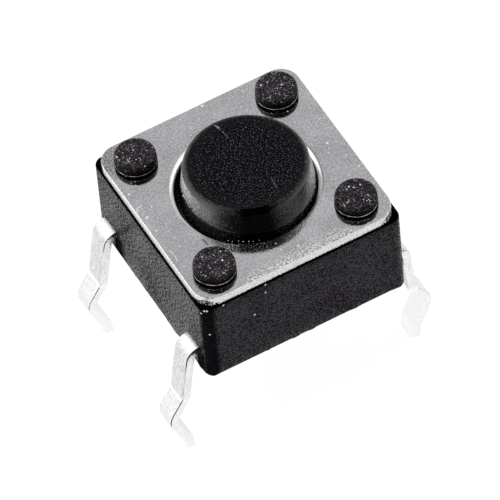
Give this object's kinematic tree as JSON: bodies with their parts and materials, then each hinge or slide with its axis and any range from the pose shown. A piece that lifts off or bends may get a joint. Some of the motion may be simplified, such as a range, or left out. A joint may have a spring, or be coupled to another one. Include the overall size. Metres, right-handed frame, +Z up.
{
  "type": "tactile push button switch",
  "caption": "Square board-mounted momentary push switch with a round button, a stamped cover plate on staked pegs and kinked snap-in legs.",
  "frame": {"origin": "centre of the flat underside of the base, on the circuit board's surface", "axes": "+Z up through the button; the legs leave the -X and +X faces, so X runs from leg row to leg row and Y along each row"},
  "size_m": [0.008, 0.006, 0.0071],
  "materials": {
    "black_moulding": "fine matte moulding",
    "cover_steel": "satin stamped sheet",
    "button_moulding": "fine matte moulding with a silky side",
    "dome_spring_metal": "silvered spring metal",
    "plated_strip": "bright tin plating on a copper alloy strip"
  },
  "bodies": {
    "switch_body": {"base_housing": "black_moulding", "cover_plate": "cover_steel", "contact_dome": "dome_spring_metal", "centre_terminal": "plated_strip", "rim_terminal": "plated_strip"},
    "push_button": {"button": "button_moulding"}
  },
  "joints": [
    {"name": "button_press", "type": "slide", "parent": "switch_body", "child": "push_button", "axis": [0, 0, -1], "range_m": [0, 0.00025], "stiffness_N_per_m": 6000, "deforming": ["contact_dome"]}
  ]
}
